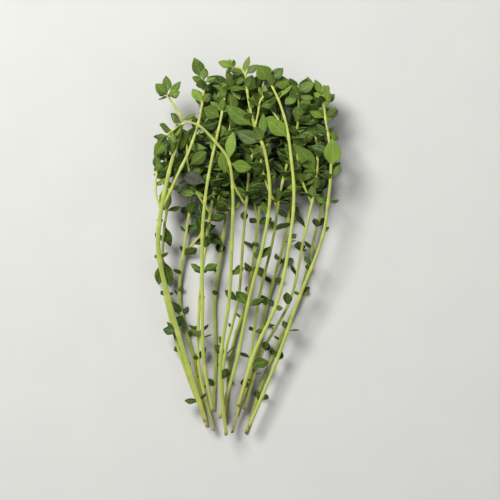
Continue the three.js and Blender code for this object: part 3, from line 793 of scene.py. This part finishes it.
def add_leaf(surface, pose, leaf, tint, grid):
    """A fine leaf in its place: a closed blade with a grooved midrib and curled edges."""
    stations, halves, columns = grid
    share = np.array(stations)[:, None]
    out = np.array(columns)[None, :]
    half = np.array(halves)[:, None] * pose["width"]
    bow = SIDE_BOW * pose["length"] * draw_aside(*leaf["key"], BOW_KEY) * 2 * np.sin(math.pi * share)
    height, groove = blade_heights(pose, share, out, half, leaf["key"])
    middle = (
        pose["root"]
        + leaf["bend"] * ((1 - share) ** 3)[..., None]
        + pose["along"] * (share * pose["length"])[..., None]
        + pose["across"] * (half * out + bow)[..., None]
        + pose["normal"] * (height - groove)[..., None]
    )
    thickness = mix(EDGE_THICKNESS, FINE_THICKNESS, 1 - out**2) * np.ones_like(share)
    lift = pose["normal"] * (thickness / 2)[..., None]
    rib = pose["normal"] * groove[..., None]
    points = np.concatenate(((middle + lift).reshape(-1, 3), (middle - lift - rib).reshape(-1, 3)))
    points[:, 2] = np.clip(points[:, 2], *FINE_HEIGHTS)
    upper, others = blade_faces(len(stations), len(columns))
    flat = np.stack(np.broadcast_arrays(share, (1 - out) / 2), axis=-1).reshape(-1, 2)
    slots = [0] * len(upper) + [1] * len(others)
    surface.add(points, upper + others, slots, np.concatenate((flat, flat)), tint)


def stem_faces(rings):
    """The faces round a stem, then those of its cut end and of its tip, and their material slots."""
    sides = [(i, (i + 1) % STEM_SIDES) for i in range(STEM_SIDES)]
    last = (rings - 1) * STEM_SIDES
    foot = last + STEM_SIDES
    faces = [
        (low + a, low + b, low + STEM_SIDES + b, low + STEM_SIDES + a)
        for low in range(0, last, STEM_SIDES) for a, b in sides
    ]
    slots = [0] * len(faces) + [1] * STEM_SIDES + [0] * STEM_SIDES
    cut = [(foot, b, a) for a, b in sides]
    tip = [(foot + 1, last + a, last + b) for a, b in sides]
    return faces + cut + tip, slots


def stem_points(centres, radius, key):
    """The points round a stem, ring by ring, then the middles of its cut end and its tip."""
    tangents = unit(np.gradient(centres, axis=0))
    sides = unit(np.cross(tangents, UP))
    rises = np.cross(sides, tangents)
    angle = np.arange(STEM_SIDES) / STEM_SIDES * TURN
    powers = np.abs(np.cos(angle)) ** SQUARENESS + np.abs(np.sin(angle)) ** SQUARENESS
    reach = radius[:, None] * SECTION_SHARE / powers ** (1 / SQUARENESS)
    across = (reach * np.cos(angle))[..., None]
    above = (reach * np.sin(angle))[..., None]
    points = centres[:, None] + sides[:, None] * across + rises[:, None] * above
    slant = CUT_SLANT * np.cos(angle + draw(*key, CUT_KEY) * CUT_TURN)
    points[0] += tangents[0] * slant[:, None]
    points = np.concatenate((points.reshape(-1, 3), [centres[0], centres[-1]]))
    points[:, 2] = np.maximum(points[:, 2], 0)
    return points


def add_stem(surface, line, radii, nodes, key):
    """A fine stem: square with round corners, swollen at its nodes, cut aslant at its foot."""
    rings = math.ceil(line.length / RING_GAP) + 1
    centres = np.array([line.smooth(i / (rings - 1)) for i in range(rings)])
    distances = distances_along(centres)
    length = distances[-1]
    swell = sum(np.exp(-(((distances - node) / NODE_REACH) ** 2)) for node in nodes) + 0 * distances
    taper = mix(TIP_SHARE, 1, np.clip((length - distances) / TIP_TAPER, 0, 1))
    radius = mix(*radii, (distances / length) ** TAPER) * (1 + NODE_SWELL * swell) * taper
    faces, slots = stem_faces(rings)
    around = np.broadcast_to(np.arange(STEM_SIDES) / STEM_SIDES, (rings, STEM_SIDES))
    along = np.broadcast_to((distances / PATTERN_LENGTH)[:, None], (rings, STEM_SIDES))
    uvs = np.stack((along, around), axis=-1).reshape(-1, 2)
    tints = np.empty((rings * STEM_SIDES + 2, 4))
    tints[:] = (draw(*key, STEM_KEY), 0, 0, 1)
    tints[:-2, 1] = np.repeat(np.clip(swell, 0, 1), STEM_SIDES)
    tints[:-2, 2] = np.repeat(distances / length, STEM_SIDES)
    uvs = np.concatenate((uvs, [(0, 0), (length / PATTERN_LENGTH, 0)]))
    surface.add(stem_points(centres, radius, key), faces, slots, uvs, tints)


def tuft_leaves(key_start, line, leafy, sprig, plan):
    """Small leaves in the axils of the pairs, on all sides of the stem."""
    for pair, back in enumerate(pair_places(key_start, line, leafy, sprig)):
        for item in range(plan["tufts"]):
            key = (*key_start, TUFT_KEY + pair, item)
            distance = min(line.length, line.length - back + plan["reach"] * draw(*key, REACH_KEY))
            azimuth = TURN * (item + draw(*key, AZIMUTH_KEY)) / plan["tufts"]
            thinned = line.at(distance)[0][0] < OPEN_SIDE_X and draw(*key, OPEN_KEY) < OPEN_SHARE
            if distance < line.length - plan["from_tip"] and not thinned:
                yield leaf_on(line, distance, key, azimuth, plan["tuft_leaf"])


def lower_leaves(key_start, line, leafy, sprig, plan):
    """Leaves below the leafy part, where the solids have bare nodes; some have dropped off."""
    for pair, back in enumerate(pair_places(key_start, line, BARE_FROM, sprig)):
        distance = line.length - back
        if distance > line.length * leafy or line.at(distance)[0][1] > plan["lower_top"]:
            continue
        kept_share = LOWER_SHARE * (distance / line.length) ** LOWER_THINNING
        for item in range(LOWER_ITEMS):
            key = (*key_start, LOWER_KEY + pair, item)
            if draw(*key, GAP_KEY) < kept_share:
                second, side = divmod(item, 2)
                scatter = draw_aside(*key, AZIMUTH_KEY) * LOWER_SCATTER
                azimuth = sprig["turn"] + pair * TURN / 4 + side * TURN / 2 + scatter
                spot = distance + second * SECOND_PAIR_GAP
                yield leaf_on(line, spot, key, azimuth, LOWER_LEAF, SECOND_PAIR_SIZE if second else 1)


def small_leaves(key_start, line, leafy, sprig, plan):
    """All the small leaves of one stem, first those round its tip."""
    for item in range(plan["buds"]):
        key = (*key_start, BUD_KEY, item)
        distance = line.length - draw_within(BUD_BACKS, *key, BACK_KEY)
        azimuth = TURN * (item + BUD_SCATTER * draw(*key, AZIMUTH_KEY)) / plan["buds"]
        yield leaf_on(line, distance, key, azimuth, BUD_LEAF)
    yield from tuft_leaves(key_start, line, leafy, sprig, plan)
    yield from lower_leaves(key_start, line, leafy, sprig, plan)


def seen_points():
    """Points that small leaves keep clear of, each with how far: gaps, front stems and shown leaves."""
    points = [(*place((x, y, 0)), radius) for x, y, radius in GAPS]
    for number, sprig in enumerate(SPRIGS):
        stems = stems_of(sprig)
        for line, _, _ in stems if number < FRONT_SPRIGS else ():
            distances = np.arange(SEEN_STEP, line.length, SEEN_STEP)
            points += [(*line.at(distance)[0], SEEN_REACH) for distance in distances]
        for leaf in shown_leaves(number, sprig, stems):
            pose = pose_of({**leaf, "droop": 0}, 0)
            spots = [spot_on(pose, share, side) for share in SEEN_SHARES for side in SEEN_SIDES]
            points += [(*spot, SEEN_REACH) for spot in spots]
    return np.array(points)


def covers(spot, seen):
    """Whether a spot lies near above a point that the photo shows."""
    x, y, height, reach = seen.T
    return np.any((np.hypot(x - spot[0], y - spot[1]) < reach) & (height < spot[2]))


def stands_clear(pose, own, trees, seen):
    """Whether a small leaf stays within the bundle, hides nothing and stands clear of the solids."""
    spots = [spot_on(pose, share, aside) for share, aside in CLEAR_SPOTS]
    for spot in spots:
        if not FLOOR <= spot[2] <= CEILING or abs(spot[0]) > SIDE_LIMIT or covers(spot, seen):
            return False
    for name, tree in trees.items():
        count, reach = (OWN_SPOTS, OWN_CLEARANCE) if name == own else (OTHER_SPOTS, OTHER_CLEARANCE)
        if any(tree.find_nearest(spot, reach)[0] is not None for spot in spots[:count]):
            return False
    return True


def clear_pose(leaf, own, trees, seen):
    """The first pose in which a small leaf stands clear, or None where there is no room for it."""
    for attempt in range(SMALL_TRIES):
        pose = pose_of({**leaf, "length": leaf["length"] * (1 - SMALL_SHRINK * attempt)}, attempt)
        if stands_clear(pose, own, trees, seen):
            return pose
    return None


def tinge_of(key):
    """How purple a leaf is that isn't flushed."""
    return PURPLE_TINGE * draw(*key, TINGE_KEY) ** 2


def leaf_tint(leaf, purple_share, extra_shade):
    """What the leaf materials read, for a leaf that stands by rule: lightness, purple and youth, with
    painted shade that darkens lightness and youth low in the bundle.
    """
    key = leaf["key"]
    # Painted shade: lower leaves are darker, down to DEEP_SHADE at DEEP_LEAF_Z, times the extra painted
    # shade of small leaves.
    lowness = np.clip((FRONT_LEAF_Z - leaf["point"][2]) / (FRONT_LEAF_Z - DEEP_LEAF_Z), 0, 1)
    shade = extra_shade * mix(1, DEEP_SHADE, lowness)
    purple = PURPLE_FLUSH if draw(*key, FLUSH_KEY) < purple_share else tinge_of(key)
    return (draw(*key, LIGHT_KEY) * shade, purple, math.exp(-leaf["back"] / YOUNG_REACH) * shade, 1)


def shown_tint(leaf, sprig):
    """What the leaf materials read, for a leaf that the photo shows."""
    key = leaf["key"]
    number = key[-1]
    limits = MIDDLE_LIGHTS
    if number in sprig.get("dark", ()):
        limits = DARK_LIGHTS
    if number in sprig.get("pale", ()):
        limits = PALE_LIGHTS
    purple = 1 if number in sprig.get("purple", ()) else tinge_of(key)
    return (draw_within(limits, *key, LIGHT_KEY), purple, 0, 1)


def corners_of(node):
    """The corners of a solid, in millimetres."""
    return np.array([vertex.co for vertex in node.data.vertices]) / METRE


def faces_of(node):
    """The faces of a solid, for finding the nearest."""
    return BVHTree.FromPolygons(corners_of(node), [tuple(face.vertices) for face in node.data.polygons])


def dress_sprig(number, sprig, nodes, trees, seen, materials):
    """Makes a sprig's fine stems, leaves and small leaves, in place of its solid."""
    name = sprig["name"]
    corners = corners_of(nodes[name])
    plan = FRONT_SMALL if number < FRONT_SPRIGS else REST_SMALL
    stems = stems_of(sprig)
    surfaces = {kind: Surface() for kind in materials}
    leaves = []
    for shoot, (line, radii, leafy) in enumerate(stems):
        key = (number, shoot)
        paired = paired_leaves(key, line, leafy, sprig)
        leaves += [(leaf, leaf_tint(leaf, PURPLE_SHARE, 1)) for leaf in paired]
        places = [line.length - back for back in pair_places(key, line, BARE_FROM, sprig)]
        add_stem(surfaces["stems"], line, radii, places, key)
        for leaf in small_leaves(key, line, leafy, sprig, plan):
            pose = clear_pose(leaf, name, trees, seen)
            if pose is not None:
                # Small leaves take their plan's painted shade.
                tint = leaf_tint(leaf, 0, plan["shade"])
                add_leaf(surfaces["small_leaves"], pose, leaf, tint, SMALL_GRID)
    leaves += [(leaf, shown_tint(leaf, sprig)) for leaf in shown_leaves(number, sprig, stems)]
    for leaf, tint in leaves:
        pose = solid_pose(leaf, corners)
        if pose is not None:
            add_leaf(surfaces["leaves"], pose, leaf, tint, LEAF_GRID)
    for kind, surface in surfaces.items():
        piece = surface.finish(f"{name}_{kind}", materials[kind])
        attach(piece, "root")
        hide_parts(name)


class Nodes:
    """Adds nodes to a material and links them, so that a rule reads as one line."""

    def __init__(self, name):
        self.material = bpy.data.materials.new(name)
        self.material.use_nodes = True
        self.tree = self.material.node_tree
        self.shader = self.tree.nodes["Principled BSDF"]

    def add(self, kind, *inputs, **values):
        """Adds a node with its first inputs linked or set."""
        node = self.tree.nodes.new(kind)
        for name, value in values.items():
            setattr(node, name, value)
        for socket, value in zip([socket for socket in node.inputs if socket.enabled], inputs):
            self.feed(socket, value)
        return node

    def feed(self, socket, value):
        """Links a socket to another, or sets it to a number or colour."""
        if isinstance(value, bpy.types.NodeSocket):
            self.tree.links.new(value, socket)
        else:
            socket.default_value = value

    def shade(self, inputs):
        """Links or sets the shader's own sockets."""
        for name, value in inputs.items():
            self.feed(self.shader.inputs[name], value)

    def math(self, operation, *numbers, clamp=False):
        return self.add("ShaderNodeMath", *numbers, operation=operation, use_clamp=clamp).outputs[0]

    def times(self, first, second):
        return self.math("MULTIPLY", first, second)

    def total(self, numbers, weights):
        """The sum of numbers, each times its weight."""
        total = 0.0
        for number, weight in zip(numbers, weights):
            total = self.math("ADD", self.times(number, weight), total)
        return total

    def ramp(self, value, *limits):
        """A smooth step between two limits: from 0 to 1, or between two more numbers."""
        return self.add("ShaderNodeMapRange", value, *limits, interpolation_type="SMOOTHSTEP").outputs[0]

    def blend(self, share, first, second):
        node = self.add("ShaderNodeMix", share, first, second, data_type="RGBA")
        return next(socket for socket in node.outputs if socket.enabled)

    def coat(self, colour, *coats):
        """A colour with others laid over it: where each is, how much it covers, and the colour."""
        for where, share, over in coats:
            colour = self.blend(self.times(where, share), colour, over)
        return colour

    def noise(self, vector, scale, detail):
        return self.add("ShaderNodeTexNoise", vector, scale, detail).outputs["Fac"]

    def bump(self, height, strength, distance):
        node = self.add("ShaderNodeBump")
        for name, value in (("Strength", strength), ("Distance", distance), ("Height", height)):
            self.feed(node.inputs[name], value)
        self.feed(self.shader.inputs["Normal"], node.outputs[0])

    def places(self):
        """Where a point is: its place in the object, and the two numbers of its place on the surface."""
        where = self.add("ShaderNodeTexCoord")
        split = self.add("ShaderNodeSeparateXYZ", where.outputs["UV"])
        return where.outputs["Object"], split.outputs[0], split.outputs[1]

    def tint(self):
        """The three numbers that each point of a piece carries."""
        node = self.add("ShaderNodeAttribute", attribute_name="tint")
        return self.add("ShaderNodeSeparateColor", node.outputs["Color"]).outputs[:3]


def leaf_lines(nodes, share, out):
    """Where a blade's midrib and its slanting side veins are."""
    midrib = nodes.ramp(out, *MIDRIB_FADE)
    slanted = nodes.math("SUBTRACT", share, nodes.times(out, VEIN_SLANT))
    ripple = nodes.math("SINE", nodes.times(slanted, VEIN_TURNS))
    veins = nodes.times(nodes.ramp(ripple, *VEIN_FADE), nodes.ramp(out, *VEIN_END_FADE))
    return nodes.math("MAXIMUM", midrib, nodes.times(veins, SIDE_VEIN_WEIGHT))


def leaf_colour(nodes, face, cloud, lines, out, glands):
    """The green of a leaf by its numbers, which carry painted shade, with its veins, purple, rim and oil
    glands.
    """
    light, purple, youth = nodes.tint()
    # light and youth carry painted shade: they are lower for leaves low in the bundle and for small leaves
    # behind.
    sum_of_all = nodes.total((light, cloud, youth), LEAF_WEIGHTS)
    tone = nodes.math("SUBTRACT", sum_of_all, LEAF_LESS, clamp=True)
    return nodes.coat(
        nodes.blend(tone, face["dark"], face["light"]),
        (youth, *YOUNG_COAT),
        (lines, face["veins"], VEIN_COLOUR),
        (nodes.times(purple, nodes.ramp(cloud, *STAIN_FADE)), *PURPLE_COAT),
        (nodes.ramp(out, *RIM_FADE), *RIM_COAT),
        (glands, *GLAND_COAT),
    )


def leaf_material(name, face):
    """A thyme leaf's face: matt green, spotted with oil glands, with a pale midrib and side veins."""
    nodes = Nodes(name)
    point, share, side = nodes.places()
    out = nodes.times(nodes.math("ABSOLUTE", nodes.math("SUBTRACT", side, 0.5)), 2.0)
    cloud = nodes.noise(point, *LEAF_CLOUD)
    grain = nodes.noise(point, *LEAF_GRAIN)
    cells = nodes.add("ShaderNodeTexVoronoi", point, LEAF_GLANDS)
    glands = nodes.ramp(cells.outputs["Distance"], *GLAND_FADE)
    lines = leaf_lines(nodes, share, out)
    nodes.shade({
        "Base Color": leaf_colour(nodes, face, cloud, lines, out, glands),
        "Roughness": nodes.ramp(grain, *LEAF_ROUGHNESS), **LEAF_SHADER,
    })
    nodes.bump(nodes.total((grain, lines, glands), face["relief"]), *LEAF_BUMP)
    return nodes.material


def stem_material():
    """A thyme stem: yellow-green with fine ridges, yellower where leaves stand, flushed here and there."""
    nodes = Nodes("stem")
    point, along, around = nodes.places()
    light, node_near, height = nodes.tint()
    streaks = [nodes.times(*pair) for pair in zip((along, around), STEM_STREAKS)]
    streak = nodes.add("ShaderNodeCombineXYZ", *streaks)
    fibres = nodes.noise(streak.outputs[0], *STEM_FIBRES)
    ridge = nodes.ramp(nodes.math("COSINE", nodes.times(around, 4 * TURN)), *RIDGE_FADE)
    tone = nodes.math("SUBTRACT", nodes.total((light, fibres), STEM_WEIGHTS), STEM_LESS, clamp=True)
    colour = nodes.coat(
        nodes.blend(tone, *STEM_COLOURS),
        (node_near, *NODE_COAT),
        (ridge, *RIDGE_COAT),
        (nodes.ramp(nodes.noise(point, *STEM_CLOUD), *FLUSH_FADE), *FLUSH_COAT),
        (nodes.ramp(height, *FOOT_FADE), *FOOT_COAT),
    )
    nodes.shade({"Base Color": colour, "Roughness": nodes.ramp(fibres, *STEM_ROUGHNESS), **STEM_SHADER})
    nodes.bump(nodes.total((fibres, ridge), STEM_RELIEF), *STEM_BUMP)
    return nodes.material


def pith_material():
    """The cut end of a stem: pale and fibrous, a little browned."""
    nodes = Nodes("pith")
    fibres = nodes.noise(nodes.places()[0], *PITH_GRAIN)
    colour = nodes.blend(nodes.ramp(fibres, *PITH_FADE), *PITH_COLOURS)
    nodes.shade({"Base Color": colour, "Roughness": PITH_ROUGHNESS})
    nodes.bump(fibres, *PITH_BUMP)
    return nodes.material


def floor_material():
    """A plain pale floor with very faint grain."""
    nodes = Nodes("floor")
    grain = nodes.noise(nodes.places()[0], *FLOOR_GRAIN)
    nodes.shade({"Base Color": nodes.blend(grain, *FLOOR_COLOURS), "Roughness": FLOOR_ROUGHNESS})
    return nodes.material


def add_camera():
    """The camera looks straight down where the photo's middle is, with the tips at the top."""
    middle = place((PHOTO_PIXELS / 2, PHOTO_PIXELS / 2, FRONT_LEAVES_Z + CAMERA_ABOVE))
    data = bpy.data.cameras.new("camera")
    data.sensor_width = SENSOR
    data.lens = SENSOR * CAMERA_ABOVE / (PHOTO_PIXELS * MM_PER_PIXEL)
    camera = put("camera", data)
    camera.location = middle * METRE
    bpy.context.scene.camera = camera


def add_floor():
    mesh = bpy.data.meshes.new("floor")
    corners = [(x * FLOOR_SIZE, y * FLOOR_SIZE, 0) for x, y in ((-1, -1), (1, -1), (1, 1), (-1, 1))]
    mesh.from_pydata(corners, [], [(0, 1, 2, 3)])
    mesh.materials.append(floor_material())
    put("floor", mesh)


def add_lights():
    """A white world, and square soft lights that face the bundle."""
    world = bpy.data.worlds.new("studio")
    world.use_nodes = True
    background = world.node_tree.nodes["Background"]
    background.inputs["Color"].default_value = WHITE
    background.inputs["Strength"].default_value = WORLD_STRENGTH
    bpy.context.scene.world = world
    for name, spot, size, power, colour in LIGHTS:
        data = bpy.data.lights.new(name, "AREA")
        data.shape = "SQUARE"
        data.size = size
        data.energy = power
        data.color = colour
        light = put(name, data)
        light.location = spot
        light.rotation_euler = (-Vector(spot)).to_track_quat("-Z", "Y").to_euler()


def main():
    add_camera()
    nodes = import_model()["nodes"]
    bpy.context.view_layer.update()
    trees = {name: faces_of(node) for name, node in nodes.items()}
    seen = seen_points()
    leaf_faces = (leaf_material("leaf", UPPER_FACE), leaf_material("underside", UNDER_FACE))
    materials = {
        "stems": (stem_material(), pith_material()), "leaves": leaf_faces, "small_leaves": leaf_faces,
    }
    for number, sprig in enumerate(SPRIGS):
        dress_sprig(number, sprig, nodes, trees, seen, materials)
    add_floor()
    add_lights()
    bpy.context.scene.view_settings.view_transform = "Standard"
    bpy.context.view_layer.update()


main()
